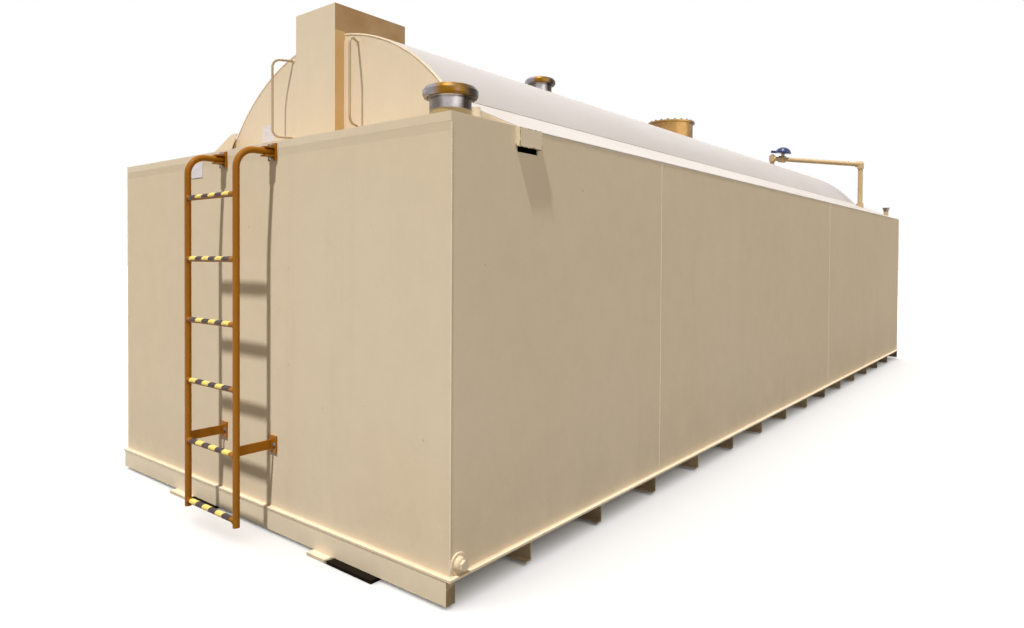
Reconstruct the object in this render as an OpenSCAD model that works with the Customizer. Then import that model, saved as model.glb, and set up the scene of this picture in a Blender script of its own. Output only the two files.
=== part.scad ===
// Horizontal fuel tank in a steel containment box on a skid, with a ladder at the front end.
// Millimetres, Z up, front wall towards -Y, origin on the ground under the middle of the whole.

/* [Containment box] */
// Width over the side walls
box_w = 2896; // [2800:1:3200]
// Length over the end walls
box_l = 9050; // [9000:1:12000]
// Height of the walls above the floor plate
wall_h = 1822; // [1760:1:2200]
// Thickness of walls, decks and heads
plate_t = 6; // [4:1:8]
// Depth of the flat deck between an end wall and its shield end plates
deck_depth = 435; // [350:1:600]
// Drop of the folded deck lip over the end walls
deck_lip = 32; // [20:1:60]

/* [Skid] */
// Thickness of the floor plate
floor_t = 10; // [6:1:16]
// Lip of the floor plate outside the walls
floor_lip = 22; // [10:1:40]
// Height of the skid beams
beam_h = 100; // [75:1:150]
// Depth of the end beams
end_beam_d = 50; // [40:1:80]
// Flange width of the cross beam channels
beam_flange = 40; // [30:1:60]
// First cross beam, distance from the front wall
beam_first = 530; // [200:1:600]
// Cross beam spacing
beam_pitch = 604; // [450:1:640]
// Number of cross beams
beam_count = 14; // [8:1:14]
// Thickness of the runner plates
runner_t = 15; // [10:1:25]
// Width of the runner plates
runner_w = 453; // [200:1:600]
// How far a runner reaches past the end walls
runner_nose = 60; // [30:1:120]
// Left edge of the left runner from the left wall
left_runner_x = 700; // [100:1:900]
// Left edge of the right runner from the left wall
right_runner_x = 2040; // [1900:1:2300]

/* [Tank] */
// Outside radius of the tank shell
tank_r = 1250; // [900:1:1300]
// Gap between the shell and the floor plate
tank_gap = 12; // [8:1:100]
// Gap between an end wall and the rim of the shell
tank_inset = 492; // [440:1:800]
// How far a head sits back from the shell rim
head_recess = 0; // [0:1:60]
// Straight flange of a head inside the shell
head_flange = 60; // [30:1:120]
// Inside knuckle radius of a head
head_knuckle = 2; // [1:1:4]
// Number of cradles under the shell
cradle_count = 4; // [2:1:6]

/* [Rain shields] */
// Run of the shield slope from the side wall
shield_run = 507; // [300:1:560]
// Rise of the shield slope over that run
shield_rise = 225; // [120:1:300]
// Lap of the shield end plates over the tank head
shield_lap = 81; // [20:1:150]
// Thickness of the shield sheets
shield_t = 5; // [3:1:8]

/* [Pipe chase] */
// Width of the chase
chase_w = 367; // [250:1:500]
// Offset of the chase from the box centre line
chase_x = -31; // [-100:1:100]
// Front of the chase from the front wall
chase_front = 425; // [300:1:470]
// Length of the hood over the crown, from the chase front
hood_l = 516; // [300:1:800]
// Height of the hood above the crown
hood_h = 145; // [80:1:250]
// Sheet thickness of the chase
chase_t = 4; // [3:1:8]

/* [Grab rails] */
// Distance between the two grab rails at the head
grab_gap = 609; // [520:1:620]
// Offset of the pair from the box centre line
grab_x = -38; // [-40:1:40]
// Lower end of a grab rail above the wall top
grab_low = 151; // [100:1:151]
// Height of a grab rail
grab_h = 461; // [300:1:461]
// Stand-off from the head to the middle of the rod
grab_out = 103; // [80:1:180]
// Outward splay of a grab rail in degrees
grab_splay = 30; // [0:1:35]
// Rod diameter of the grab rails
grab_d = 14; // [12:2:16]

/* [Ladder] */
// Distance between the rail centres
ladder_w = 470; // [400:1:600]
// Offset of the ladder from the box centre line
ladder_x = -10; // [-200:1:200]
// Stand-off from the front wall to the rail centres
ladder_out = 200; // [150:1:250]
// Rail tube diameter
rail_d = 33; // [25:1:50]
// Rung diameter
rung_d = 27; // [20:1:40]
// Number of rungs
rung_count = 6; // [4:1:6]
// Rung spacing
rung_pitch = 314; // [280:1:330]
// Height of the lowest rung above the ground
rung_first = 110; // [60:1:180]
// Height of the rail top below the wall top
rail_drop = 47; // [30:1:120]
// Radius of the rail bend at the top
rail_bend = 95; // [60:1:140]

/* [Vents and manway] */
// Diameter of a vent cap
vent_d = 245; // [180:1:320]
// Diameter of a vent neck
vent_neck_d = 185; // [120:1:240]
// Height of a vent above its seat
vent_h = 185; // [140:1:260]
// Corner vent, distance from the right wall
corner_vent_x = 247; // [180:1:400]
// Corner vent, distance from the front wall
corner_vent_y = 250; // [180:1:290]
// Crown vent, distance from the front wall
crown_vent_y = 2530; // [1500:1:4000]
// Diameter of the manway cover
manway_d = 490; // [400:1:620]
// Height of the manway above the crown
manway_h = 187; // [120:1:300]
// Manway, distance from the front wall
manway_y = 4873; // [3000:1:6000]

/* [Transfer pipe] */
// Outside diameter of the pipe
pipe_d = 60; // [40:1:90]
// Pipe plane, distance from the front wall
pipe_y = 8100; // [7000:1:8300]
// Height of the pipe centre above the crown, at the nozzle
pipe_rise = 178; // [120:1:260]
// Drop leg, distance from the right wall
pipe_leg_x = 296; // [240:1:400]
// Fall of the run in degrees
pipe_fall = 8.6; // [0:0.1:15]
// Distance of the valve from the nozzle
valve_x = 140; // [100:1:400]

/* [Hidden] */
$fn = 96;
run_in = 0.3;
side_reach = 40;
ladder_reach = ladder_out + rail_d / 2;
left_x = floor_lip / 2 - (box_w + side_reach) / 2;
right_x = left_x + box_w;
mid_x = left_x + box_w / 2;
front_y = ladder_reach / 2 - (box_l + runner_nose) / 2;
back_y = front_y + box_l;
floor_z = runner_t + beam_h;
base_z = floor_z + floor_t;
top_z = base_z + wall_h;
axis_z = base_z + tank_gap + tank_r;
crown_z = axis_z + tank_r;
rim_front = front_y + tank_inset;
rim_back = back_y - tank_inset;
head_front = rim_front + head_recess;
head_back = rim_back - head_recess;
deck_z = top_z + plate_t;
shield_slope = shield_rise / (shield_run - plate_t);
lip_t = 2;
chase_mid = mid_x + chase_x;
chase_y = front_y + chase_front;
cream = [0.86, 0.80, 0.68];
pale = [0.89, 0.86, 0.82];
ochre = [0.72, 0.43, 0.08];
dark = [0.16, 0.12, 0.09];
grey = [0.45, 0.44, 0.44];
gold = [0.72, 0.55, 0.20];
blue = [0.12, 0.30, 0.62];

// Plate or bar given by its two corners
module block(low, high) {
    translate(low) cube(high - low);
}

// Draws a YZ outline: children use (y, z) and their own z axis points along +X
module in_yz(x) {
    translate([x, 0, 0]) rotate([90, 0, 90]) children();
}

// Draws an XZ outline: children use (x, z) and their own z axis points along -Y
module in_xz(y) {
    translate([0, y, 0]) rotate([90, 0, 0]) children();
}

// Bar from [x, y] along an angle in the drawing plane
module bar(start, angle, length, d) {
    translate([start[0], start[1], 0]) rotate([0, 0, angle]) rotate([0, 90, 0]) cylinder(d = d, h = length);
}

// Part of a ring about a centre, from one angle over a sweep
module bend(centre, r, from, sweep, d) {
    translate([centre[0], centre[1], 0]) rotate([0, 0, from])
        rotate_extrude(angle = sweep) translate([r, 0]) circle(d = d);
}

// Cylinder round the tank axis
module round_tank(r, y_from, y_to) {
    translate([mid_x, y_to, axis_z]) rotate([90, 0, 0]) cylinder(r = r, h = y_to - y_from, $fn = 180);
}

// Turned piece standing at a place, from an outline of [radius, height]
module turned(x, y, z, outline) {
    translate([x, y, z]) rotate_extrude() polygon(outline);
}

// Neck standing on the crown, cut to the shell
module crown_neck(y, d, t, height) {
    difference() {
        translate([mid_x, y, crown_z - d]) cylinder(d = d, h = d + height);
        translate([mid_x, y, crown_z - d - 1]) cylinder(d = d - 2 * t, h = d + height + 2);
        round_tank(tank_r + run_in, y - d, y + d);
    }
}

// Skid

module floor_plate() color(cream)
    block([left_x - floor_lip, front_y - floor_lip, floor_z],
          [right_x + floor_lip, back_y + floor_lip, base_z]);

// End beam: a channel with closed ends, its web flush with the lip of the floor plate
module end_beam() {
    web = 8;
    difference() {
        block([left_x, 0, runner_t], [right_x, end_beam_d, floor_z]);
        block([left_x + web, web, runner_t + web], [right_x - web, end_beam_d + 1, floor_z - web]);
    }
}

module front_end_beam() color(cream) translate([0, front_y - floor_lip + 2, 0]) end_beam();

module back_end_beam() color(cream)
    translate([0, back_y + floor_lip - 2, 0]) translate([2 * mid_x, 0, 0]) rotate([0, 0, 180]) end_beam();

// Cross beam channel outline in YZ, toes to the front
module channel_outline() {
    web = 6;
    difference() {
        translate([-beam_flange, runner_t]) square([beam_flange, beam_h]);
        translate([-beam_flange - 1, runner_t + web]) square([beam_flange + 1 - web, beam_h - 2 * web]);
    }
}

module cross_beams() color(dark) {
    for (i = [0 : beam_count - 1])
        in_yz(left_x) translate([front_y + beam_first + i * beam_pitch, 0, 0])
            linear_extrude(box_w) channel_outline();
}

module runner(x) {
    block([left_x + x, front_y - runner_nose, 0], [left_x + x + runner_w, back_y + runner_nose, runner_t]);
}

module left_runner() color(dark) runner(left_runner_x);

module right_runner() color(dark) runner(right_runner_x);

// Containment box

module front_wall() color(cream)
    block([left_x, front_y, base_z], [right_x, front_y + plate_t, top_z]);

module back_wall() color(cream)
    block([left_x, back_y - plate_t, base_z], [right_x, back_y, top_z]);

module left_wall() color(cream)
    block([left_x, front_y + plate_t, base_z], [left_x + plate_t, back_y - plate_t, top_z]);

// The right wall has a hole for the drain
module right_wall() color(cream) difference() {
    block([right_x - plate_t, front_y + plate_t, base_z], [right_x, back_y - plate_t, top_z]);
    drain_place() translate([0, 0, -2 * plate_t]) cylinder(d = drain_bore, h = 3 * plate_t);
    block([right_x - 2 * plate_t, front_y + lip_bracket_y + 10, top_z - lip_bracket[2] - slot_drop],
          [right_x + 1, front_y + lip_bracket_y + lip_bracket[1] - 4, top_z - 22]);
}

// Deck plate folded down over the outside of its end wall, with a tongue up to the tank rim
module deck() {
    tongue_inset = 60;
    block([left_x, -lip_t, top_z], [right_x, deck_depth, deck_z]);
    block([left_x, -lip_t, top_z - deck_lip], [right_x, 0, top_z]);
    block([left_x + tongue_inset, deck_depth, top_z],
          [right_x - tongue_inset, tank_inset - run_in, deck_z]);
}

module front_deck() color(cream) translate([0, front_y, 0]) deck();

module back_deck() color(cream) translate([2 * mid_x, back_y, 0]) rotate([0, 0, 180]) deck();

// Sloping sheet from the side wall up to the shell, drawn for the left side
module shield_sheet() {
    in_xz(back_y - deck_depth) linear_extrude(box_l - 2 * deck_depth) difference() {
        polygon([
            [left_x, top_z],
            [left_x + plate_t, top_z],
            [left_x + shield_run, top_z + shield_rise],
            [left_x + shield_run, top_z + shield_rise + shield_t],
            [left_x, top_z + shield_t]
        ]);
        translate([mid_x, axis_z]) circle(r = tank_r + 1, $fn = 180);
    }
}

module mirror_across() {
    translate([2 * mid_x, 0, 0]) mirror([1, 0, 0]) children();
}

module left_rain_shield() color(pale) shield_sheet();

module right_rain_shield() color(pale) mirror_across() shield_sheet();

// End plate under a shield sheet, drawn for the left side: its inner edge laps over the head
module shield_end_plate(y) {
    reach = shield_run + shield_lap;
    in_xz(y) linear_extrude(plate_t) difference() {
        polygon([
            [left_x + plate_t / shield_slope, deck_z],
            [left_x + shield_run, top_z + shield_rise],
            [left_x + reach, top_z + shield_rise],
            [left_x + reach, deck_z]
        ]);
        translate([mid_x, axis_z]) circle(r = tank_r - shield_lap, $fn = 180);
    }
}

module shield_end_plates() color(cream)
    for (y = [front_y + deck_depth, back_y - deck_depth + plate_t]) {
        shield_end_plate(y);
        mirror_across() shield_end_plate(y);
    }

// Folded rain hood over the overflow slot of the right wall, open below
lip_bracket = [25, 160, 84];
lip_bracket_y = 401;
slot_drop = 46;
module side_lip_bracket() color(cream) {
    sheet = 4;
    place = [right_x, front_y + lip_bracket_y, top_z - lip_bracket[2]];
    difference() {
        block(place, place + lip_bracket);
        block(place + [-1, sheet, -1], place + lip_bracket - [sheet, sheet, sheet]);
    }
}

// Low drain on the right wall beside the front corner
drain_bore = 42;
drain_y = 46;
drain_z = 42;
drain_h = 24;
module drain_place() {
    translate([right_x, front_y + drain_y, base_z + drain_z]) rotate([0, 90, 0]) children();
}

module drain_coupling() color(cream) drain_place() difference() {
    union() {
        cylinder(d = 80, h = 6);
        cylinder(d = 60, h = drain_h);
    }
    translate([0, 0, -1]) cylinder(d = drain_bore, h = drain_h + 2);
}

module drain_plug() color(cream) drain_place() {
    translate([0, 0, 4]) cylinder(d = drain_bore - 2 * run_in, h = drain_h - 4);
    translate([0, 0, drain_h]) cylinder(d = 54, h = 3);
    translate([0, 0, drain_h + 3]) cylinder(d = 44, h = side_reach - drain_h - 3, $fn = 6);
}

// Tank

module tank_shell() color(pale) difference() {
    round_tank(tank_r, rim_front, rim_back);
    round_tank(tank_r - plate_t, rim_front - 1, rim_back + 1);
}

// Flat flanged head, its face towards -Y at the origin
module flanged_head() {
    r = tank_r - plate_t - run_in;
    knuckle = head_knuckle + plate_t;
    rotate([-90, 0, 0]) rotate_extrude($fn = 180) difference() {
        union() {
            square([r - knuckle, knuckle]);
            translate([0, knuckle]) square([r, head_flange]);
            translate([r - knuckle, knuckle]) circle(r = knuckle);
        }
        translate([-1, plate_t]) square([r - knuckle + 1, knuckle + head_flange]);
        translate([-1, knuckle]) square([r - plate_t + 1, head_flange + 1]);
        translate([r - knuckle, knuckle]) circle(r = head_knuckle);
    }
}

module tank_front_head() color(cream) translate([mid_x, head_front, axis_z]) flanged_head();

module tank_back_head() color(cream)
    translate([mid_x, head_back, axis_z]) rotate([0, 0, 180]) flanged_head();

// Upright plates cut to the shell, standing on the floor plate
module tank_cradles() color(cream) {
    cradle_t = 12;
    half_w = tank_r * sin(40) + 60;
    height = tank_gap + tank_r * (1 - cos(40));
    span = rim_back - rim_front - 1200;
    for (i = [0 : cradle_count - 1])
        translate([0, rim_front + 600 + i * span / (cradle_count - 1), 0]) difference() {
            block([mid_x - half_w, 0, base_z], [mid_x + half_w, cradle_t, base_z + height]);
            translate([mid_x, cradle_t + 1, axis_z]) rotate([90, 0, 0])
                cylinder(r = tank_r + run_in, h = cradle_t + 2, $fn = 180);
        }
}

// Pipe chase at the front head

// Height at which the riser's sides would meet the inside of the shell rim
shoulder_z = axis_z + sqrt(pow(tank_r - plate_t - 2, 2) - pow(chase_w / 2 + abs(chase_x), 2));

module pipe_chase_riser() color(cream) difference() {
    block([chase_mid - chase_w / 2, chase_y, deck_z], [chase_mid + chase_w / 2, head_front, crown_z]);
    block([chase_mid - chase_w / 2 + chase_t, chase_y + chase_t, deck_z - 1],
          [chase_mid + chase_w / 2 - chase_t, head_front + 1, crown_z + 1]);
    block([chase_mid - chase_w, rim_front - run_in, shoulder_z],
          [chase_mid + chase_w, head_front + 1, crown_z + 1]);
}

module pipe_chase_hood() color(cream) {
    top = crown_z + hood_h;
    low = [chase_mid - chase_w / 2, chase_y, crown_z];
    high = [chase_mid + chase_w / 2, chase_y + hood_l, top];
    skirt = 60;
    difference() {
        union() {
            block(low, high);
            block([low[0], rim_front, crown_z - skirt], [high[0], high[1], crown_z]);
        }
        block(low + [chase_t, chase_t, -skirt - 1], high - [chase_t, chase_t, chase_t]);
        round_tank(tank_r + run_in, rim_front - 1, rim_back);
    }
}

// Bent rod splayed away from the chase, both ends cut to the head
module grab_rail(side) {
    low = top_z + grab_low;
    high = low + grab_h;
    reach = grab_out / cos(grab_splay);
    r = 45;
    difference() {
        translate([mid_x + grab_x + side * grab_gap / 2, head_front, 0]) rotate([0, 0, side * grab_splay])
            in_yz(0) {
                for (z = [low, high]) bar([r - reach, z], 0, reach - r + 2 * grab_d, grab_d);
                bend([r - reach, high - r], r, 90, 90, grab_d);
                bend([r - reach, low + r], r, 180, 90, grab_d);
                bar([-reach, low + r], 90, grab_h - 2 * r, grab_d);
            }
        block([left_x, head_front, top_z], [right_x, head_front + 4 * grab_d, crown_z]);
    }
}

module left_grab_rail() color(cream) grab_rail(-1);

module right_grab_rail() color(cream) grab_rail(1);

// Ladder on the front wall

rail_y = front_y - ladder_out;
rail_top = top_z - rail_drop;
rail_foot = rung_first - 30;
clip_t = 8;
clip = [70, 84];
standoff_z = rung_first + rung_pitch + 20;

function rail_x(side) = mid_x + ladder_x + side * ladder_w / 2;

module ladder_rail(side) {
    in_yz(rail_x(side)) {
        bar([rail_y, rail_foot], 90, rail_top - rail_bend - rail_foot, rail_d);
        bend([rail_y + rail_bend, rail_top - rail_bend], rail_bend, 90, 90, rail_d);
        bar([rail_y + rail_bend, rail_top], 0, ladder_out - rail_bend - clip_t - lip_t, rail_d);
    }
}

module ladder_left_rail() color(ochre) ladder_rail(-1);

module ladder_right_rail() color(ochre) ladder_rail(1);

module ladder_rungs() color(ochre) difference() {
    for (i = [0 : rung_count - 1])
        translate([rail_x(-1), rail_y, rung_first + i * rung_pitch]) rotate([0, 90, 0])
            cylinder(d = rung_d, h = ladder_w);
    for (side = [-1, 1])
        translate([rail_x(side), rail_y, 0]) cylinder(d = rail_d + 2 * run_in, h = top_z);
}

// Wall plate that holds a rail or a stand-off bar
module clip_plate(side, z, y_gap) {
    block([rail_x(side) - clip[0] / 2, front_y - y_gap - clip_t, z - clip[1] / 2],
          [rail_x(side) + clip[0] / 2, front_y - y_gap, z + clip[1] / 2]);
}

// Each top clip has an ear above and an ear below the rail end
module ladder_top_clips() color(ochre) for (side = [-1, 1]) {
    ear = [54, 46, 7];
    ear_root = front_y - lip_t - clip_t;
    clip_plate(side, rail_top, lip_t);
    for (z = [rail_top + rail_d / 2 + run_in, rail_top - rail_d / 2 - run_in - ear[2]])
        block([rail_x(side) - ear[0] / 2, ear_root - ear[1], z], [rail_x(side) + ear[0] / 2, ear_root, z + ear[2]]);
}

module ladder_lower_clips() color(ochre) for (side = [-1, 1]) clip_plate(side, standoff_z, 0);

// Flat bars from the rails to the lower clips
module ladder_standoffs() color(ochre) for (side = [-1, 1]) difference() {
    block([rail_x(side) - 5, rail_y, standoff_z - 23], [rail_x(side) + 5, front_y - clip_t, standoff_z + 23]);
    translate([rail_x(side), rail_y, 0]) cylinder(d = rail_d + 2 * run_in, h = top_z);
}

// Vents and manway

vent_wall = 8;
cap_h = 62;
cap_seat = 12;

// Spool with a rolled top edge that carries the weighted cap; its foot reaches below the seat
module vent_neck(x, y, z, foot) {
    r = vent_neck_d / 2;
    top = vent_h - cap_h + cap_seat;
    roll = 9;
    translate([x, y, z]) rotate_extrude() difference() {
        union() {
            translate([r - vent_wall, -foot]) square([vent_wall, top + foot]);
            translate([r, top - roll]) circle(r = roll, $fn = 32);
        }
        translate([r - vent_wall - roll, 0]) square([roll, top]);
    }
}

// Weighted cap with a turned-down skirt and a low crown
module vent_cap(x, y, z) {
    r = vent_d / 2;
    low = vent_h - cap_h;
    rest = low + cap_seat;
    turned(x, y, z, [
        [0, rest], [r - 18, rest], [r - 18, low], [r - 6, low], [r, low + 10], [r, low + 30],
        [r - 12, low + 46], [r - 40, low + 56], [0, low + cap_h]
    ]);
}

corner_vent = [right_x - corner_vent_x, front_y + corner_vent_y, deck_z];

module corner_vent_neck() color(grey) vent_neck(corner_vent[0], corner_vent[1], corner_vent[2], 0);

module corner_vent_cap() color(gold) vent_cap(corner_vent[0], corner_vent[1], corner_vent[2]);

// The crown vent's spool is cut to the shell
module crown_vent_neck() color(grey) difference() {
    vent_neck(mid_x, front_y + crown_vent_y, crown_z, 20);
    round_tank(tank_r + run_in, front_y + crown_vent_y - vent_d, front_y + crown_vent_y + vent_d);
}

module crown_vent_cap() color(gold) vent_cap(mid_x, front_y + crown_vent_y, crown_z);

manway_cover_t = 22;

module manway_neck() color(gold) crown_neck(front_y + manway_y, manway_d - 40, 8, manway_h - manway_cover_t);

module manway_cover() color(gold) {
    r = manway_d / 2;
    turned(mid_x, front_y + manway_y, crown_z + manway_h - manway_cover_t, [
        [0, 0], [r, 0], [r, 14], [r - 8, manway_cover_t - 4], [r - 90, manway_cover_t - 4],
        [r - 130, manway_cover_t], [0, manway_cover_t]
    ]);
}

// Transfer pipe over the back of the tank

pipe_plane = front_y + pipe_y;
leg_x = right_x - pipe_leg_x;
tee_d = 84;
elbow_d = 80;
elbow_reach = 58;
nozzle_z = crown_z + pipe_rise;
corner_z = nozzle_z - (leg_x - mid_x) * tan(pipe_fall);
run_length = (leg_x - mid_x) / cos(pipe_fall) - elbow_reach;
sheet_slope = shield_rise / shield_run;
shield_z = top_z + pipe_leg_x * sheet_slope;
flange_h = 46;

module transfer_nozzle() color(cream) {
    crown_neck(pipe_plane, pipe_d, 5, pipe_rise - tee_d / 2);
    translate([mid_x, pipe_plane, nozzle_z - tee_d / 2]) cylinder(d = tee_d, h = tee_d);
    translate([mid_x, pipe_plane, nozzle_z + tee_d / 2]) cylinder(d = 50, h = 18, $fn = 6);
}

// Sloping run and drop leg, both ending on the elbow
module transfer_pipe() color(cream) difference() {
    in_xz(pipe_plane) {
        bar([leg_x, shield_z + flange_h], 90, corner_z - elbow_reach - shield_z - flange_h, pipe_d);
        bar([mid_x, nozzle_z], -pipe_fall, run_length, pipe_d);
    }
    translate([mid_x, pipe_plane, nozzle_z - tee_d]) cylinder(d = tee_d + 2 * run_in, h = 2 * tee_d);
}

module transfer_elbow() color(cream) in_xz(pipe_plane) {
    translate([leg_x, corner_z, 0]) sphere(d = elbow_d + 4);
    bar([leg_x, corner_z], -90, elbow_reach, elbow_d);
    bar([leg_x, corner_z], 180 - pipe_fall, elbow_reach, elbow_d);
}

// Socket that carries the drop leg, cut to the slope of the shield
module transfer_flange() color(cream) difference() {
    translate([leg_x, pipe_plane, shield_z - pipe_d]) cylinder(d = pipe_d + 26, h = pipe_d + flange_h);
    in_xz(pipe_plane + pipe_d) linear_extrude(2 * pipe_d) polygon([
        [leg_x - 100, shield_z + 100 * sheet_slope + shield_t],
        [leg_x + 100, shield_z - 100 * sheet_slope + shield_t],
        [leg_x + 100, shield_z - 200],
        [leg_x - 100, shield_z - 200]
    ]);
}

// Valve on the run: a split collar round the pipe with a bonnet on top
module valve_place() {
    translate([mid_x + valve_x * cos(pipe_fall), pipe_plane, nozzle_z - valve_x * sin(pipe_fall)])
        rotate([0, pipe_fall, 0]) children();
}

valve_d = 92;
bonnet_h = 74;

module valve_body() color(cream) valve_place() difference() {
    union() {
        translate([-45, 0, 0]) rotate([0, 90, 0]) cylinder(d = valve_d, h = 90);
        cylinder(d = 46, h = bonnet_h);
    }
    translate([-100, 0, 0]) rotate([0, 90, 0]) cylinder(d = pipe_d + 2 * run_in, h = 200);
}

// Domed handle with a lever tail towards the left
module valve_handle() color(blue) valve_place() translate([0, 0, bonnet_h]) {
    rotate_extrude() polygon([
        [0, 0], [36, 0], [100, 8], [107, 18], [101, 36], [82, 64], [52, 84], [24, 92], [0, 94]
    ]);
    block([-150, -24, 4], [-80, 24, 36]);
    translate([-150, 0, 4]) cylinder(r = 24, h = 32);
}

// Nipple on the back deck

nipple = [right_x - 126, front_y + 8850, deck_z];
nipple_h = 100;

module rear_nipple() color(cream) translate(nipple) difference() {
    cylinder(d = 60, h = nipple_h);
    translate([0, 0, -1]) cylinder(d = 48, h = nipple_h + 2);
}

// Flared cup on the nipple
module rear_nipple_cap() color(grey)
    turned(nipple[0], nipple[1], nipple[2] + nipple_h, [
        [0, 0], [32, 0], [34, 14], [48, 52], [43, 52], [29, 18], [0, 18]
    ]);

floor_plate();
front_end_beam();
back_end_beam();
cross_beams();
left_runner();
right_runner();
front_wall();
back_wall();
left_wall();
right_wall();
front_deck();
back_deck();
left_rain_shield();
right_rain_shield();
shield_end_plates();
side_lip_bracket();
drain_coupling();
drain_plug();
tank_shell();
tank_front_head();
tank_back_head();
tank_cradles();
pipe_chase_riser();
pipe_chase_hood();
left_grab_rail();
right_grab_rail();
ladder_left_rail();
ladder_right_rail();
ladder_rungs();
ladder_top_clips();
ladder_lower_clips();
ladder_standoffs();
corner_vent_neck();
corner_vent_cap();
crown_vent_neck();
crown_vent_cap();
manway_neck();
manway_cover();
transfer_nozzle();
transfer_pipe();
transfer_elbow();
transfer_flange();
valve_body();
valve_handle();
rear_nipple();
rear_nipple_cap();
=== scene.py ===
import bpy
import math
from mathutils import Euler, Matrix, Vector


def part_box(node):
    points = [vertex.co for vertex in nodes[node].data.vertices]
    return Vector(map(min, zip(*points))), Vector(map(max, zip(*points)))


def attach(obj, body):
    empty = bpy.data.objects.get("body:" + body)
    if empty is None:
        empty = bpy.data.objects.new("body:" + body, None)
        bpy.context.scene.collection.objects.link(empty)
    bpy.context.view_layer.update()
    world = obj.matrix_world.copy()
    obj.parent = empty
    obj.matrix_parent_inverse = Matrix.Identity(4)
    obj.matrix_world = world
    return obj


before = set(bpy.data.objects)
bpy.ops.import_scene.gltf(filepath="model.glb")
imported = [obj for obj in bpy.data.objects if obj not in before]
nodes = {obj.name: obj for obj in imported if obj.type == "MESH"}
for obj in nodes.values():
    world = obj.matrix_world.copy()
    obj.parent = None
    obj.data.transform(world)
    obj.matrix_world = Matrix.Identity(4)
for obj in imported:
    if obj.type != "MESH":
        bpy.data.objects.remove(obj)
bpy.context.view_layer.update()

# Skid runners: two wide flat bars under the cross beams that take the drag when the tank is winched.
# Mild steel plate, welded below the beams; coloured near black all over except the left part
# of both noses, which is cream.


def shader_group(name, inputs, outputs):
    tree = bpy.data.node_groups.new(name, "ShaderNodeTree")
    for label, kind, value in inputs:
        socket = tree.interface.new_socket(label, in_out="INPUT", socket_type=kind)
        socket.default_value = value
    for label, kind in outputs:
        tree.interface.new_socket(label, in_out="OUTPUT", socket_type=kind)
    return tree, tree.nodes.new("NodeGroupInput"), tree.nodes.new("NodeGroupOutput")


def wire(tree, source, target):
    tree.links.new(source, target)


def maths(tree, operation, a, b=None, c=None):
    node = tree.nodes.new("ShaderNodeMath")
    node.operation = operation
    for socket, value in zip(node.inputs, (a, b, c)):
        if value is None:
            continue
        if isinstance(value, (int, float)):
            socket.default_value = value
        else:
            wire(tree, value, socket)
    return node.outputs[0]


def ramp(tree, value, low, high, to_low=0.0, to_high=1.0):
    node = tree.nodes.new("ShaderNodeMapRange")
    node.interpolation_type = "SMOOTHSTEP"
    wire(tree, value, node.inputs["Value"])
    for label, number in (("From Min", low), ("From Max", high), ("To Min", to_low), ("To Max", to_high)):
        if isinstance(number, (int, float)):
            node.inputs[label].default_value = number
        else:
            wire(tree, number, node.inputs[label])
    return node.outputs["Result"]


def noise(tree, where, scale, detail=3.0, rough=0.55, stretch=None):
    if stretch:
        mapping = tree.nodes.new("ShaderNodeMapping")
        mapping.inputs["Scale"].default_value = stretch
        wire(tree, where, mapping.inputs["Vector"])
        where = mapping.outputs["Vector"]
    node = tree.nodes.new("ShaderNodeTexNoise")
    wire(tree, where, node.inputs["Vector"])
    node.inputs["Scale"].default_value = scale
    node.inputs["Detail"].default_value = detail
    node.inputs["Roughness"].default_value = rough
    return node.outputs[0]


def blend_colour(tree, factor, a, b, mode="MIX"):
    node = tree.nodes.new("ShaderNodeMix")
    node.data_type = "RGBA"
    node.blend_type = mode
    sockets = {s.identifier: s for s in node.inputs}
    for key, value in (("Factor_Float", factor), ("A_Color", a), ("B_Color", b)):
        if isinstance(value, (int, float)):
            sockets[key].default_value = value
        elif isinstance(value, tuple):
            sockets[key].default_value = (*value, 1.0)
        else:
            wire(tree, value, sockets[key])
    return next(s for s in node.outputs if s.identifier == "Result_Color")


def object_place(tree):
    return tree.nodes.new("ShaderNodeTexCoord").outputs["Object"]


def axes(tree, where):
    split = tree.nodes.new("ShaderNodeSeparateXYZ")
    wire(tree, where, split.inputs[0])
    return split.outputs


# Sprayed coat with broad fading, rain streaks, dust that settles low down, specks and orange peel.
coat, coat_in, coat_out = shader_group(
    "sprayed_coat",
    [("Paint", "NodeSocketColor", (0.7, 0.58, 0.4, 1)), ("Faded", "NodeSocketColor", (0.72, 0.62, 0.46, 1)),
     ("Grime", "NodeSocketColor", (0.2, 0.14, 0.08, 1)), ("Streaks", "NodeSocketFloat", 0.1),
     ("Dust", "NodeSocketFloat", 0.2), ("Dust Top", "NodeSocketFloat", 0.6),
     ("Specks", "NodeSocketFloat", 0.3), ("Roughness", "NodeSocketFloat", 0.42)],
    [("Color", "NodeSocketColor"), ("Roughness", "NodeSocketFloat"), ("Height", "NodeSocketFloat")])
spot = object_place(coat)
broad = noise(coat, spot, 0.8, 3.0)
middling = noise(coat, spot, 7.0, 5.0, 0.62)
fine = noise(coat, spot, 60.0, 3.0)
colour = blend_colour(coat, ramp(coat, broad, 0.32, 0.7), coat_in.outputs["Paint"], coat_in.outputs["Faded"])
shade = maths(coat, "MULTIPLY", maths(coat, "SUBTRACT", middling, 0.5), 0.09)
shade = maths(coat, "ADD", shade, maths(coat, "MULTIPLY", maths(coat, "SUBTRACT", fine, 0.5), 0.05))
lift = coat.nodes.new("ShaderNodeCombineColor")
for channel in lift.inputs[:3]:
    wire(coat, maths(coat, "ADD", shade, 1.0), channel)
colour = blend_colour(coat, 1.0, colour, lift.outputs[0], "MULTIPLY")
runs = noise(coat, spot, 5.0, 5.0, 0.6, (1.0, 1.0, 0.06))
runs = maths(coat, "MULTIPLY", ramp(coat, runs, 0.52, 0.78), ramp(coat, broad, 0.38, 0.62))
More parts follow.
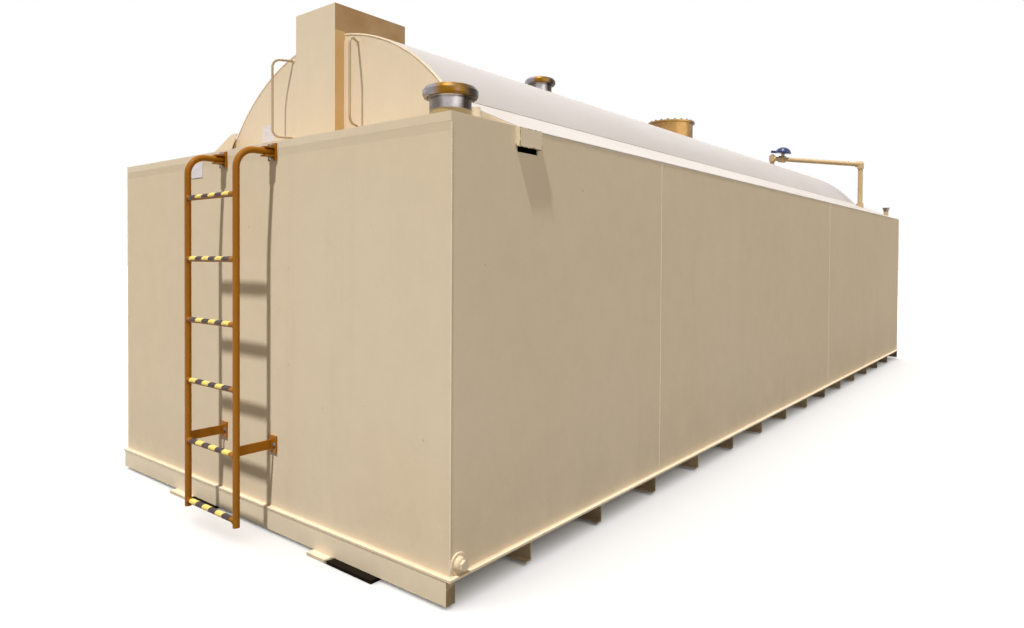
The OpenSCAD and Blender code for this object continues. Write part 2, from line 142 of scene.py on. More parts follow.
colour = blend_colour(coat, maths(coat, "MULTIPLY", runs, coat_in.outputs["Streaks"]), colour,
                      coat_in.outputs["Grime"])
settled = ramp(coat, axes(coat, spot)["Z"], 0.05, coat_in.outputs["Dust Top"], 1.0, 0.0)
settled = maths(coat, "MULTIPLY", settled, ramp(coat, noise(coat, spot, 3.2, 6.0, 0.65), 0.36, 0.66))
colour = blend_colour(coat, maths(coat, "MULTIPLY", settled, coat_in.outputs["Dust"]), colour,
                      coat_in.outputs["Grime"])
dots = ramp(coat, noise(coat, spot, 30.0, 1.0, 0.4), 0.80, 0.83)
colour = blend_colour(coat, maths(coat, "MULTIPLY", dots, coat_in.outputs["Specks"]), colour,
                      coat_in.outputs["Grime"])
wire(coat, colour, coat_out.inputs["Color"])
gloss = maths(coat, "MULTIPLY_ADD", maths(coat, "SUBTRACT", middling, 0.5), 0.22, coat_in.outputs["Roughness"])
gloss = maths(coat, "MULTIPLY_ADD", settled, 0.18, gloss)
wire(coat, gloss, coat_out.inputs["Roughness"])
peel = maths(coat, "MULTIPLY", noise(coat, spot, 260.0, 2.0), 0.00012)
buckle = maths(coat, "MULTIPLY", noise(coat, spot, 1.1, 1.0), 0.006)
wire(coat, maths(coat, "ADD", peel, buckle), coat_out.inputs["Height"])

# Paint rubbed off along a plate's edges: the middle one of the three distances to the plate's faces.
wear, wear_in, wear_out = shader_group(
    "rubbed_edges",
    [("Low", "NodeSocketVector", (0, 0, 0)), ("High", "NodeSocketVector", (1, 1, 1)),
     ("Width", "NodeSocketFloat", 0.01)],
    [("Mask", "NodeSocketFloat")])
spot = object_place(wear)
here, low_corner, high_corner = (axes(wear, where) for where in (
    spot, wear_in.outputs["Low"], wear_in.outputs["High"]))
distances = []
for axis in range(3):
    to_low = maths(wear, "ABSOLUTE", maths(wear, "SUBTRACT", here[axis], low_corner[axis]))
    to_high = maths(wear, "ABSOLUTE", maths(wear, "SUBTRACT", here[axis], high_corner[axis]))
    distances.append(maths(wear, "MINIMUM", to_low, to_high))
smaller = maths(wear, "MINIMUM", distances[0], distances[1])
larger = maths(wear, "MAXIMUM", distances[0], distances[1])
median = maths(wear, "MAXIMUM", smaller, maths(wear, "MINIMUM", larger, distances[2]))
ragged = maths(wear, "MULTIPLY", wear_in.outputs["Width"],
               ramp(wear, noise(wear, spot, 34.0, 5.0, 0.7), 0.42, 0.72, 0.0, 1.6))
wire(wear, maths(wear, "LESS_THAN", median, ragged), wear_out.inputs["Mask"])


def new_material(name):
    material = bpy.data.materials.new(name)
    material.use_nodes = True
    return material, material.node_tree, material.node_tree.nodes["Principled BSDF"]


def place_group(tree, group, **values):
    node = tree.nodes.new("ShaderNodeGroup")
    node.node_tree = group
    for label, value in values.items():
        socket = node.inputs[label.replace("_", " ")]
        socket.default_value = (*value, 1.0) if socket.type == "RGBA" else value
    return node


def give_bump(tree, shader, height, strength):
    bump = tree.nodes.new("ShaderNodeBump")
    bump.inputs["Strength"].default_value = strength
    bump.inputs["Distance"].default_value = 1.0
    wire(tree, height, bump.inputs["Height"])
    wire(tree, bump.outputs["Normal"], shader.inputs["Normal"])


def finish_coat(tree, shader, colour, paint, specular, bump=0.6, clear_coat=0.0):
    wire(tree, colour, shader.inputs["Base Color"])
    wire(tree, paint.outputs["Roughness"], shader.inputs["Roughness"])
    shader.inputs["Specular IOR Level"].default_value = specular
    shader.inputs["Coat Weight"].default_value = clear_coat
    give_bump(tree, shader, paint.outputs["Height"], bump)


def coated(name, edges=None, edge_width=0.006, bare=(0.2, 0.12, 0.06), bump=0.6, clear_coat=0.0, specular=0.35,
           **values):
    material, tree, shader = new_material(name)
    paint = place_group(tree, coat, **values)
    colour = paint.outputs["Color"]
    if edges:
        rubbed = place_group(tree, wear, Low=tuple(edges[0]), High=tuple(edges[1]), Width=edge_width)
        colour = blend_colour(tree, rubbed.outputs["Mask"], colour, bare)
    finish_coat(tree, shader, colour, paint, specular, bump, clear_coat)
    return material


def dress(node_name, material):
    node_mesh = nodes[node_name].data
    node_mesh.materials.clear()
    node_mesh.materials.append(material)


cream = (0.785, 0.655, 0.472)
faded_cream = (0.800, 0.680, 0.506)
road_dust = (0.330, 0.235, 0.135)
near_black = (0.009, 0.006, 0.004)
# Each runner is coloured near black, with cream over the left part of its nose.
for runner, cream_reach in (("left_runner", 0.21), ("right_runner", 0.145)):
    low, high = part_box(runner)
    material, tree, shader = new_material(runner + "_bitumen")
    dark_layer = place_group(tree, coat, Paint=near_black, Faded=(0.017, 0.012, 0.007), Grime=road_dust, Streaks=0.0,
                      Dust=0.06, Dust_Top=0.03, Specks=0.3, Roughness=0.85)
    spray = place_group(tree, coat, Paint=cream, Faded=faded_cream, Grime=road_dust, Streaks=0.05,
                        Dust=0.2, Dust_Top=0.1, Specks=0.3, Roughness=0.45)
    spot = object_place(tree)
    torn = maths(tree, "MULTIPLY_ADD", noise(tree, spot, 30.0, 4.0, 0.65), 0.05, axes(tree, spot)["X"])
    cream_edge = low.x + cream_reach
    cream_mask = ramp(tree, torn, cream_edge, cream_edge + 0.04, 1.0, 0.0)
    colour = blend_colour(tree, cream_mask, dark_layer.outputs["Color"], spray.outputs["Color"])
    finish_coat(tree, shader, colour, dark_layer, 0.03, 0.8)
    dress(runner, material)

# Skid beams: a folded channel across each end and fourteen channels between, about two feet apart.
# Hot rolled steel under the same box paint, which gets road dirt and rubs thin on the flange edges;
# the end faces of the end beams are painted deep brown, part dirt and part painted shade.
for beam in ("front_end_beam", "back_end_beam"):
    low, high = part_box(beam)
    material, tree, shader = new_material(beam + "_paint")
    paint = place_group(tree, coat, Paint=(0.800, 0.680, 0.495), Faded=(0.815, 0.700, 0.525), Grime=road_dust,
                        Streaks=0.05, Dust=0.10, Dust_Top=0.10, Specks=0.4, Roughness=0.45)
    rubbed = place_group(tree, wear, Low=tuple(low), High=tuple(high), Width=0.0018)
    spot = object_place(tree)
    along = axes(tree, spot)["X"]
    # Painted shade and dirt: the last couple of millimetres at each beam end are darkened to deep brown.
    from_end = maths(tree, "MINIMUM", maths(tree, "SUBTRACT", along, low.x), maths(tree, "SUBTRACT", high.x, along))
    end_shade_and_dirt = maths(tree, "MULTIPLY", ramp(tree, from_end, 0.0008, 0.0022, 1.0, 0.0),
                     ramp(tree, noise(tree, spot, 14.0, 5.0, 0.65), 0.30, 0.55, 0.55, 1.0))
    colour = blend_colour(tree, rubbed.outputs["Mask"], paint.outputs["Color"], (0.36, 0.25, 0.14))
    colour = blend_colour(tree, end_shade_and_dirt, colour, (0.255, 0.175, 0.092))
    finish_coat(tree, shader, colour, paint, 0.2)
    dress(beam, material)
# Painted shade and dust: the cross beams take a darker, browner cream than the box.
shaded_dusty_cream, shaded_dusty_faded, under_dirt = (0.680, 0.540, 0.360), (0.60, 0.47, 0.31), (0.18, 0.12, 0.07)
dress("cross_beams", coated("cross_beam_paint", Paint=shaded_dusty_cream, Faded=shaded_dusty_faded, Grime=under_dirt,
                            Streaks=0.25, Dust=0.5, Dust_Top=0.16, Specks=0.5, Roughness=0.55))

# Floor plate: the bottom of the containment box, lying on the beams and showing as a narrow lip all round.
# The walls stand on it and are fillet welded along the lip on the outside.
box_gloss = dict(Paint=cream, Faded=faded_cream, Grime=road_dust, Roughness=0.40)
dress("floor_plate", coated("floor_plate_paint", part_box("floor_plate"), 0.0012, (0.46, 0.35, 0.22), Streaks=0.0,
                            Dust=0.1, Dust_Top=0.2, Specks=0.3, **box_gloss))


def node_tree_with(name, numbers):
    tree = bpy.data.node_groups.new(name, "GeometryNodeTree")
    tree.interface.new_socket("Geometry", in_out="INPUT", socket_type="NodeSocketGeometry")
    for label, value in numbers:
        socket = tree.interface.new_socket(label, in_out="INPUT", socket_type="NodeSocketFloat")
        socket.default_value = value
    tree.interface.new_socket("Material", in_out="INPUT", socket_type="NodeSocketMaterial")
    tree.interface.new_socket("Geometry", in_out="OUTPUT", socket_type="NodeSocketGeometry")
    return tree, tree.nodes.new("NodeGroupInput"), tree.nodes.new("NodeGroupOutput")


def finish_tree(tree, start, end, geometry, smooth):
    realize = tree.nodes.new("GeometryNodeRealizeInstances")
    wire(tree, geometry, realize.inputs["Geometry"])
    shading = tree.nodes.new("GeometryNodeSetShadeSmooth")
    shading.inputs["Shade Smooth"].default_value = smooth
    wire(tree, realize.outputs[0], shading.inputs["Geometry"])
    finish = tree.nodes.new("GeometryNodeSetMaterial")
    wire(tree, shading.outputs[0], finish.inputs["Geometry"])
    wire(tree, start.outputs["Material"], finish.inputs["Material"])
    wire(tree, finish.outputs[0], end.inputs["Geometry"])


def grow(name, base_mesh, tree, slot, material, **numbers):
    piece = bpy.data.objects.new(name, base_mesh)
    bpy.context.scene.collection.objects.link(piece)
    modifier = piece.modifiers.new("grow", "NODES")
    modifier.node_group = tree
    for item in tree.interface.items_tree:
        if item.in_out != "INPUT" or item.socket_type == "NodeSocketGeometry":
            continue
        if item.name == "Material":
            modifier[item.identifier] = material
        elif item.name in numbers:
            modifier[item.identifier] = numbers[item.name]
    seen = piece.evaluated_get(bpy.context.evaluated_depsgraph_get())
    grown = bpy.data.meshes.new_from_object(seen)
    piece.modifiers.remove(modifier)
    piece.data = grown
    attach(piece, "root")


# A weld bead: a rod that swells and narrows with each pass of the torch, swept along a run of edges.
bead, bead_in, bead_out = node_tree_with("weld_bead", [("Radius", 0.005), ("Ripple", 0.16), ("Pitch", 0.014),
                                                       ("Step", 0.0047)])
run = bead.nodes.new("GeometryNodeMeshToCurve")
wire(bead, bead_in.outputs["Geometry"], run.inputs["Mesh"])
steps = bead.nodes.new("GeometryNodeResampleCurve")
steps.mode = "LENGTH"
wire(bead, run.outputs[0], steps.inputs["Curve"])
wire(bead, bead_in.outputs["Step"], steps.inputs["Length"])
along = bead.nodes.new("GeometryNodeSplineParameter")
wave = maths(bead, "SINE", maths(bead, "MULTIPLY", maths(bead, "DIVIDE", along.outputs["Length"],
                                                       bead_in.outputs["Pitch"]), 2 * math.pi))
swell = maths(bead, "MULTIPLY_ADD", wave, bead_in.outputs["Ripple"], 1.0)
wander = bead.nodes.new("ShaderNodeTexNoise")
wander.inputs["Scale"].default_value = 9.0
wire(bead, bead.nodes.new("GeometryNodeInputPosition").outputs[0], wander.inputs["Vector"])
swell = maths(bead, "ADD", swell, maths(bead, "MULTIPLY", maths(bead, "SUBTRACT", wander.outputs[0], 0.5), 0.5))
ring = bead.nodes.new("GeometryNodeCurvePrimitiveCircle")
ring.inputs["Resolution"].default_value = 8
wire(bead, bead_in.outputs["Radius"], ring.inputs["Radius"])
sweep = bead.nodes.new("GeometryNodeCurveToMesh")
sweep.inputs["Fill Caps"].default_value = True
wire(bead, steps.outputs[0], sweep.inputs["Curve"])
wire(bead, ring.outputs[0], sweep.inputs["Profile Curve"])
wire(bead, swell, sweep.inputs["Scale"])
finish_tree(bead, bead_in, bead_out, sweep.outputs[0], True)


def run_of_edges(name, runs):
    points, edges = [], []
    for path in runs:
        first = len(points)
        points += [tuple(p) for p in path]
        edges += [(first + i, first + i + 1) for i in range(len(path) - 1)]
    mesh = bpy.data.meshes.new(name + "_runs")
    mesh.from_pydata(points, edges, [])
    return mesh


def circle_run(centre, radius, normal_axis, count=48, start=0.0, sweep_angle=2 * math.pi):
    path = []
    for i in range(count + 1):
        a = start + sweep_angle * i / count
        c, s = radius * math.cos(a), radius * math.sin(a)
        offset = {"x": (0, c, s), "y": (c, 0, s), "z": (c, s, 0)}[normal_axis]
        path.append(Vector(centre) + Vector(offset))
    return path


bead_paint = coated("weld_bead_paint", bump=0.3, Streaks=0.0, Dust=0.08, Dust_Top=0.4, Specks=0.2, **box_gloss)
wall_low, wall_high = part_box("front_wall")[0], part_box("back_wall")[1]
left_x, right_x = wall_low.x, wall_high.x
front_y, back_y = wall_low.y, wall_high.y
foot_z, top_z = wall_low.z, wall_high.z
foot_gap = 0.0015
foot_left, foot_right = left_x - foot_gap, right_x + foot_gap
foot_front, foot_back = front_y - foot_gap, back_y + foot_gap
foot_loop = [(x, y, foot_z + foot_gap) for x, y in (
    (foot_left, foot_front), (foot_right, foot_front), (foot_right, foot_back), (foot_left, foot_back),
    (foot_left, foot_front))]
grow("wall_foot_weld", run_of_edges("wall_foot_weld", [foot_loop]), bead, "box_paint", bead_paint,
     Radius=0.0022, Ripple=0.10, Pitch=0.014, Step=0.0047)

# Box walls: sheets of quarter inch plate stood on the floor plate, butt welded end to end on the long sides
# and along the four corners, then ground, primed and sprayed with two coats of cream enamel.
for wall in ("front_wall", "back_wall", "left_wall", "right_wall"):
    dress(wall, coated(wall + "_paint", Streaks=0.05, Dust=0.10, Dust_Top=0.75, Specks=0.35, specular=0.0,
                       **box_gloss))
corner_sink, seam_sink = 0.002, 0.0026
seam_foot, corner_top, joint_top = foot_z + 0.012, top_z - 0.036, top_z - 0.004
sheet_joints = (1.787, 5.470)
sides = ((left_x, -1), (right_x, 1))
seam_runs = [[(x - side * corner_sink, y - end * corner_sink, z) for z in (seam_foot, corner_top)]
             for x, side in sides for y, end in ((front_y, -1), (back_y, 1))]
seam_runs += [[(x - side * seam_sink, front_y + joint, z) for z in (seam_foot, joint_top)]
              for x, side in sides for joint in sheet_joints]
grow("wall_seam_welds", run_of_edges("wall_seam_welds", seam_runs), bead, "box_paint", bead_paint,
     Radius=0.0045, Ripple=0.08, Pitch=0.016, Step=0.005)

# Drain at the foot of the near corner: a half coupling welded through the side wall and a square headed
# pipe plug, painted over with the box.
drain_cream = coated("drain_paint", bump=0.4, Streaks=0.2, Dust=0.4, Dust_Top=0.5, Specks=0.3, **box_gloss)
dress("drain_coupling", drain_cream)
dress("drain_plug", drain_cream)
low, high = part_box("drain_coupling")
drain_mid = (low + high) / 2
grow("drain_weld", run_of_edges("drain_weld", [circle_run((right_x + 0.002, drain_mid.y, drain_mid.z),
                                                          (high.z - low.z) / 2 + 0.002, "x")]),
     bead, "box_paint", bead_paint, Radius=0.0035, Ripple=0.15, Pitch=0.012, Step=0.004)

# Side hood: a small strip of plate folded over the overflow slot of the right wall to keep the rain out.
# It is open below, welded to the wall down both sides, and painted with the box.
dress("side_lip_bracket", coated("side_bracket_paint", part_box("side_lip_bracket"), 0.004, Streaks=0.2, Dust=0.0,
                                 Specks=0.3, **box_gloss))
low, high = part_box("side_lip_bracket")
grow("side_bracket_welds", run_of_edges("side_bracket_welds", [
    [(right_x + 0.002, y, low.z + 0.012), (right_x + 0.002, y, high.z - 0.008)]
    for y in (low.y - 0.001, high.y + 0.001)]), bead, "box_paint", bead_paint, Radius=0.003, Ripple=0.15,
     Pitch=0.010, Step=0.0035)

# Slot sill: a strip of the wall's own plate that closes the lower half of the overflow slot.
# It is welded in flush with the wall and sprayed with it.
slot_foot, slot_mid, sill_lap = low.z - 0.046, low.z - 0.020, 0.002
sill_mesh = bpy.data.meshes.new("slot_sill")
sill_xs = (right_x - 0.005, right_x - 0.0005)
sill_ys = (low.y - sill_lap, high.y + sill_lap)
sill_zs = (slot_foot - sill_lap, slot_mid)
sill_mesh.from_pydata([(x, y, z) for x in sill_xs for y in sill_ys for z in sill_zs], [],
                      [(0, 1, 3, 2), (4, 6, 7, 5), (0, 4, 5, 1), (2, 3, 7, 6), (0, 2, 6, 4), (1, 5, 7, 3)])
sill_mesh.materials.append(nodes["right_wall"].data.materials[0])
sill = bpy.data.objects.new("slot_sill", sill_mesh)
bpy.context.scene.collection.objects.link(sill)
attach(sill, "root")

# Tank: a rolled shell with a flanged flat head flush with each rim and welded round it.
# It lies on cradles inside the box and is sprayed with the box; away from its rims the shell is coloured
# a greyer, darker cream, a painted sky reflection darkened to offset the light on its top.
shell_low, shell_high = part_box("tank_shell")
material, tree, shader = new_material("tank_shell_paint")
# Painted reflection: away from the rims the shell takes a greyer, darker cream than the box.
crown = place_group(tree, coat, Paint=(0.452, 0.412, 0.380), Faded=(0.478, 0.441, 0.412), Grime=road_dust,
                    Streaks=0.08, Dust=0.0, Specks=0.25, Roughness=0.40)
rim = place_group(tree, coat, Streaks=0.05, Dust=0.0, Specks=0.2, **box_gloss)
along = axes(tree, object_place(tree))["Y"]
from_end = maths(tree, "MINIMUM", maths(tree, "SUBTRACT", along, shell_low.y),
                 maths(tree, "SUBTRACT", shell_high.y, along))
colour = blend_colour(tree, ramp(tree, from_end, 0.001, 0.012), rim.outputs["Color"], crown.outputs["Color"])
finish_coat(tree, shader, colour, crown, 0.2, clear_coat=0.03)
dress("tank_shell", material)
for head in ("tank_front_head", "tank_back_head"):
    dress(head, coated(head + "_paint", Streaks=0.10, Dust=0.0, Specks=0.25, clear_coat=0.05, **box_gloss))
dress("tank_cradles", coated("cradle_paint", Streaks=0.1, Dust=0.3, Dust_Top=0.4, Specks=0.3, **box_gloss))
axis_x, axis_z = (shell_low.x + shell_high.x) / 2, (shell_low.z + shell_high.z) / 2
shell_r = (shell_high.z - shell_low.z) / 2
head_low, head_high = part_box("tank_front_head")
head_r = (head_high.z - head_low.z) / 2
deck_angle = math.asin((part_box("front_deck")[1].z + 0.02 - axis_z) / head_r)
rim_runs = []
for face_y, away in ((head_low.y, -1), (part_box("tank_back_head")[1].y, 1)):
    rim_runs.append(circle_run((axis_x, face_y - away * 0.003, axis_z), head_r - 0.001, "y", 160, deck_angle,
                               math.pi - 2 * deck_angle))
grow("tank_rim_welds", run_of_edges("tank_rim_welds", rim_runs), bead, "tank_paint", bead_paint, Radius=0.006,
     Ripple=0.14, Pitch=0.016, Step=0.0053)

# Decks: a folded sheet closes the box between each end wall and the tank head, with a lip over the wall top.
# Steel plate welded all round and sprayed with the box; dust lies on the flat.
settled_dust = (0.590, 0.480, 0.335)
for deck in ("front_deck", "back_deck"):
    material, tree, shader = new_material(deck + "_paint")
    paint = place_group(tree, coat, Streaks=0.0, Dust=0.0, Specks=0.4, **box_gloss)
    facing_up = axes(tree, tree.nodes.new("ShaderNodeNewGeometry").outputs["Normal"])["Z"]
    drift = ramp(tree, noise(tree, object_place(tree), 5.0, 5.0, 0.6), 0.30, 0.62, 0.65, 1.0)
    settled = maths(tree, "MULTIPLY", ramp(tree, facing_up, 0.6, 0.9), drift)
    finish_coat(tree, shader, blend_colour(tree, settled, paint.outputs["Color"], settled_dust), paint, 0.25)
    dress(deck, material)

# Lip filler: paint filler knifed in below each deck lip and feathered out down the end wall.
# It hides the sheet's edge under the paint, so the lip reads as a soft line.
lip_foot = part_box("front_deck")[0].z
lip_depth = front_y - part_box("front_deck")[0].y
feather = 0.060
filler_points, filler_faces = [], []
for face_y, away in ((front_y, -1), (back_y, 1)):
    first = len(filler_points)
    sunk_y, proud_y, filler_top = face_y - away * 0.001, face_y + away * (lip_depth - 0.0002), lip_foot + 0.0006
    for x in (left_x, right_x):
        filler_points += [(x, sunk_y, filler_top), (x, proud_y, filler_top), (x, sunk_y, lip_foot - feather)]
    for face in ((0, 1, 2), (3, 5, 4), (0, 3, 4, 1), (1, 4, 5, 2), (2, 5, 3, 0)):
        turned = face if away == 1 else face[::-1]
        filler_faces.append(tuple(first + corner for corner in turned))
filler_mesh = bpy.data.meshes.new("deck_lip_filler")
filler_mesh.from_pydata(filler_points, [], filler_faces)
filler_mesh.materials.append(nodes["front_wall"].data.materials[0])
filler = bpy.data.objects.new("deck_lip_filler", filler_mesh)
bpy.context.scene.collection.objects.link(filler)
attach(filler, "root")

# Rain shields: sloping sheets that shed rain from the shell to the side walls, closed at both ends by small
# upright plates; seam welded to the wall tops and to the shell.
# Painted reflection: the shields and the tank's weld bead take a greyer, darker cream like the shell.
sheen_grey = dict(Paint=(0.533, 0.480, 0.432), Faded=(0.557, 0.509, 0.466), Grime=road_dust, Roughness=0.40)
for shield in ("left_rain_shield", "right_rain_shield"):
    dress(shield, coated(shield + "_paint", Streaks=0.05, Dust=0.0, Specks=0.3, clear_coat=0.03, specular=0.2,
                         **sheen_grey))
tank_bead = coated("tank_bead_paint", bump=0.3, Streaks=0.1, Dust=0.0, Specks=0.2, **sheen_grey)
dress("shield_end_plates", coated("shield_end_paint", Streaks=0.1, Dust=0.0, Specks=0.3, **box_gloss))
shield_runs = []
for shield, wall_side, shell_side in (("left_rain_shield", left_x, 1), ("right_rain_shield", right_x, -1)):
    low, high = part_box(shield)
    wall_edge = wall_side + shell_side * 0.003
    shield_runs.append([(wall_edge, y, top_z + 0.002) for y in (low.y + 0.02, high.y - 0.02)])
    shell_edge = axis_x - shell_side * (math.sqrt(shell_r ** 2 - (high.z - axis_z) ** 2) + 0.001)
    shield_runs.append([(shell_edge, y, high.z + 0.001) for y in (low.y + 0.07, high.y - 0.07)])
grow("shield_welds", run_of_edges("shield_welds", shield_runs), bead, "tank_paint", tank_bead, Radius=0.005,
     Ripple=0.12, Pitch=0.018, Step=0.006)

# Pipe chase: a three sided sheet riser against the front head, with a hood that turns back over the crown.
# Folded from thin sheet, the open edges welded to head and shell, and sprayed with the box; the right hand
# sheets are coloured browner and darker as painted shade.
for chase, painted_side_shade in (("pipe_chase_riser", (0.640, 0.410, 0.165)), ("pipe_chase_hood", (0.420, 0.245, 0.095))):
    low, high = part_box(chase)
    material, tree, shader = new_material(chase + "_paint")
    paint = place_group(tree, coat, Streaks=0.08, Dust=0.0, Specks=0.25, **box_gloss)
    spot = object_place(tree)
    # Painted shade: the right hand face is browned in patches.
    side_sheet = ramp(tree, axes(tree, spot)["X"], high.x - 0.0022, high.x - 0.0008)
    thin = ramp(tree, noise(tree, spot, 6.0, 4.0, 0.6), 0.3, 0.7, 0.85, 1.0)
    side_shade_mask = maths(tree, "MULTIPLY", side_sheet, thin)
    finish_coat(tree, shader, blend_colour(tree, side_shade_mask, paint.outputs["Color"], painted_side_shade), paint, 0.25)
    dress(chase, material)
riser_low, riser_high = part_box("pipe_chase_riser")
hood_low, hood_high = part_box("pipe_chase_hood")
head_face = head_low.y
stand_off = 0.002


def shell_top(x):
    return axis_z + math.sqrt(shell_r ** 2 - (x - axis_x) ** 2) + 0.001


chase_runs = [[(x + side * stand_off, head_face - stand_off, z) for z in (riser_low.z + 0.01, hood_low.z - 0.03)]
              for x, side in ((riser_low.x, -1), (riser_high.x, 1))]
chase_runs += [[(x + side * stand_off, y, shell_top(x)) for y in (shell_low.y + 0.01, hood_high.y)]
               for x, side in ((hood_low.x, -1), (hood_high.x, 1))]
chase_runs.append([(x, hood_high.y + stand_off, shell_top(x))
                   for x in [hood_low.x + (hood_high.x - hood_low.x) * i / 16 for i in range(17)]])
chase_runs.append([(x, riser_low.y - stand_off, riser_low.z + 0.003) for x in (riser_low.x, riser_high.x)])
grow("chase_welds", run_of_edges("chase_welds", chase_runs), bead, "box_paint", bead_paint, Radius=0.004,
     Ripple=0.14, Pitch=0.012, Step=0.004)

# Grab rails: bent round bar either side of the chase for the climber's hands.
# Each end is welded to the tank head with a small collar of weld; the rails are coloured a darker brown
# than the box as painted shade, with dirt specks.
rail_shaded_brown = coated("grab_rail_paint", bump=0.3, Paint=(0.430, 0.320, 0.195), Faded=(0.500, 0.390, 0.250),
                  Grime=(0.14, 0.09, 0.05), Streaks=0.1, Dust=0.0, Specks=0.5, Roughness=0.45)
collar_runs = []
foot_inset, foot_rise, collar_r = 0.0072, 0.0065, 0.0080
for rail in ("left_grab_rail", "right_grab_rail"):
    dress(rail, rail_shaded_brown)
    low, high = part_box(rail)
    foot_x = high.x - foot_inset if rail.startswith("left") else low.x + foot_inset
    for z in (low.z + foot_rise, high.z - foot_rise):
        collar_runs.append(circle_run((foot_x, high.y - stand_off, z), collar_r, "y", 24))
grow("grab_rail_welds", run_of_edges("grab_rail_welds", collar_runs), bead, "box_paint", bead_paint, Radius=0.004,
     Ripple=0.15, Pitch=0.009, Step=0.003)

# Ladder: two bent tubes and six round rungs, welded up and painted safety ochre, chipped by boots and tools.
# It hangs from two eared clips under the deck lip and is held off the wall lower down by two flat bars.
ochre = dict(Paint=(0.310, 0.110, 0.0025), Faded=(0.355, 0.136, 0.004), Grime=(0.09, 0.036, 0.008), Streaks=0.25,
             Dust=0.25, Dust_Top=0.6, Specks=0.6, Roughness=0.45)
ladder_ochre = coated("ladder_enamel", bump=0.4, clear_coat=0.18, specular=0.06, **ochre)
for node_name in ("ladder_left_rail", "ladder_right_rail", "ladder_rungs"):
    dress(node_name, ladder_ochre)
for node_name in ("ladder_top_clips", "ladder_lower_clips", "ladder_standoffs"):
    dress(node_name, coated(node_name + "_enamel", bump=0.4, clear_coat=0.20, specular=0.06, **ochre))
rail_boxes = [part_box(rail) for rail in ("ladder_left_rail", "ladder_right_rail")]
rail_xs = [(low.x + high.x) / 2 for low, high in rail_boxes]
rung_low, rung_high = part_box("ladder_rungs")
rung_r = (rung_high.y - rung_low.y) / 2
rail_y = (rung_low.y + rung_high.y) / 2
rail_r = (rail_boxes[0][1].x - rail_boxes[0][0].x) / 2
rung_count = 6
rung_pitch = (rung_high.z - rung_low.z - 2 * rung_r) / (rung_count - 1)
rung_zs = [rung_low.z + rung_r + rung_pitch * i for i in range(rung_count)]
ladder_bead = coated("ladder_bead_enamel", bump=0.3, **ochre)
grow("rung_welds", run_of_edges("rung_welds", [
    circle_run((x + side * (rail_r - 0.0035), rail_y, z), rung_r + 0.001, "x", 32)
    for z in rung_zs for x, side in zip(rail_xs, (1, -1))]), bead, "ladder_paint", ladder_bead, Radius=0.0036,
     Ripple=0.16, Pitch=0.009, Step=0.003)
bar_low, bar_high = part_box("ladder_standoffs")
lower_low, lower_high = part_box("ladder_lower_clips")
grow("standoff_welds", run_of_edges("standoff_welds", [
    [(x + side * 0.006, lower_low.y - stand_off, z) for z in (bar_low.z, bar_high.z)]
    for x in rail_xs for side in (-1, 1)]), bead, "ladder_paint", ladder_bead, Radius=0.0035, Ripple=0.16,
     Pitch=0.009, Step=0.003)

# Hexagon bolts with a washer, one at each point, turned to the point's facing vector.
bolt, bolt_in, bolt_out = node_tree_with("hex_bolt", [("Across", 0.010), ("Head", 0.008), ("Washer", 0.014),
                                                     ("Washer Thickness", 0.002)])


def bolt_disc(vertices, radius, depth, lift_by):
    disc = bolt.nodes.new("GeometryNodeMeshCylinder")
    disc.inputs["Vertices"].default_value = vertices
    wire(bolt, radius, disc.inputs["Radius"])
    wire(bolt, depth, disc.inputs["Depth"])
    shift = bolt.nodes.new("ShaderNodeCombineXYZ")
    wire(bolt, lift_by, shift.inputs["Z"])
    move = bolt.nodes.new("GeometryNodeTransform")
    wire(bolt, disc.outputs["Mesh"], move.inputs["Geometry"])
    wire(bolt, shift.outputs[0], move.inputs["Translation"])
    return move.outputs[0]


half_washer = maths(bolt, "MULTIPLY", bolt_in.outputs["Washer Thickness"], 0.5)
head_lift = maths(bolt, "MULTIPLY_ADD", bolt_in.outputs["Head"], 0.5, bolt_in.outputs["Washer Thickness"])
crown_lift = maths(bolt, "ADD", maths(bolt, "ADD", bolt_in.outputs["Head"],
                                      bolt_in.outputs["Washer Thickness"]), 0.0006)
both = bolt.nodes.new("GeometryNodeJoinGeometry")
for solid in (bolt_disc(20, bolt_in.outputs["Washer"], bolt_in.outputs["Washer Thickness"], half_washer),
              bolt_disc(6, bolt_in.outputs["Across"], bolt_in.outputs["Head"], head_lift),
              bolt_disc(12, maths(bolt, "MULTIPLY", bolt_in.outputs["Across"], 0.80),
                        maths(bolt, "MULTIPLY", bolt_in.outputs["Head"], 0.15), crown_lift)):
    wire(bolt, solid, both.inputs[0])
facing = bolt.nodes.new("GeometryNodeInputNamedAttribute")
facing.data_type = "FLOAT_VECTOR"
facing.inputs["Name"].default_value = "facing"
turn = bolt.nodes.new("FunctionNodeAlignRotationToVector")
turn.axis = "Z"
wire(bolt, facing.outputs[0], turn.inputs["Vector"])
scatter = bolt.nodes.new("GeometryNodeInstanceOnPoints")
wire(bolt, bolt_in.outputs["Geometry"], scatter.inputs["Points"])
wire(bolt, both.outputs[0], scatter.inputs["Instance"])
wire(bolt, turn.outputs[0], scatter.inputs["Rotation"])
finish_tree(bolt, bolt_in, bolt_out, scatter.outputs[0], False)


def bolt_points(name, places):
    mesh = bpy.data.meshes.new(name + "_points")
    mesh.from_pydata([tuple(p) for p, _ in places], [], [])
    ways = mesh.attributes.new("facing", "FLOAT_VECTOR", "POINT")
    for i, (_, way) in enumerate(places):
        ways.data[i].vector = way
    return mesh


